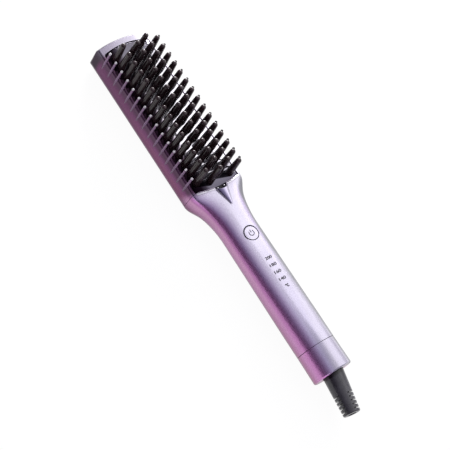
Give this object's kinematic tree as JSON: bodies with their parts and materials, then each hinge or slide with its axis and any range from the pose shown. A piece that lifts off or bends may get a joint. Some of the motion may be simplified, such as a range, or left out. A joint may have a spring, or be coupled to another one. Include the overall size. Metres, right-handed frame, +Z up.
{
  "type": "hair straightening brush",
  "caption": "Hot straightening brush: pearl lilac shell, heated plate full of tapered dark teeth, slim side teeth, push button on an oval handle and a swivelling cord boot.",
  "frame": {"origin": "centre of the bounding box in plan, on the surface that the brush lies on with its teeth up", "axes": "+X from the head to the cord end, +Z up through the teeth, +Y across the head"},
  "size_m": [0.3274, 0.0474, 0.0495],
  "materials": {
    "pearl_shell": "pearl lilac lacquer over ABS",
    "tooth_plastic": "black heat-proof nylon, satin",
    "plate_metal": "silver coated aluminium",
    "heatproof_plastic": "glass-filled black plastic",
    "dark_trim": "dark moulded plastic",
    "boot_rubber": "charcoal soft rubber",
    "lead_rubber": "silicone insulation",
    "heater_ceramic": "white alumina",
    "mica": "pressed mica sheet",
    "steel": "plain steel",
    "brass": "plain brass",
    "board": "green board",
    "clear_plastic": "white diffusing plastic"
  },
  "bodies": {
    "body": {"head_frame": "pearl_shell", "handle_shell": "pearl_shell", "back_cover": "pearl_shell", "end_cap": "pearl_shell", "side_teeth_left": "pearl_shell", "side_teeth_right": "pearl_shell", "teeth_outer_left": "tooth_plastic", "teeth_inner_left": "tooth_plastic", "teeth_inner_right": "tooth_plastic", "teeth_outer_right": "tooth_plastic", "heating_plate": "plate_metal", "plate_carrier": "heatproof_plastic", "swivel_housing_upper": "heatproof_plastic", "swivel_housing_lower": "heatproof_plastic", "button_ring": "dark_trim", "ion_outlet": "dark_trim", "power_switch": "dark_trim", "ion_generator": "dark_trim", "power_parts": "dark_trim", "heater_leads": "lead_rubber", "mains_leads": "lead_rubber", "ion_lead": "lead_rubber", "heater_element": "heater_ceramic", "thermistor": "heater_ceramic", "mica_sheet": "mica", "heater_clamp": "steel", "clamp_screws": "steel", "plate_screws": "steel", "cover_screws": "steel", "board_screws": "steel", "thermal_fuse": "steel", "ion_emitters": "steel", "contact_brushes": "brass", "control_board": "board", "indicator_leds": "clear_plastic", "light_guide": "clear_plastic"},
    "button": {"power_button": "pearl_shell", "switch_plunger": "dark_trim"},
    "swivel": {"swivel_spindle": "heatproof_plastic", "contact_rings": "brass", "strain_relief": "boot_rubber"}
  },
  "joints": [
    {"name": "button_press", "type": "slide", "parent": "body", "child": "button", "axis": [0, 0, -1], "range_m": [0, 0.0005], "stiffness_N_per_m": 1500},
    {"name": "cord_swivel", "type": "hinge", "parent": "body", "child": "swivel", "pos_m": [0.1319, 0, 0.0155], "axis": [1, 0, 0], "continuous": true}
  ]
}
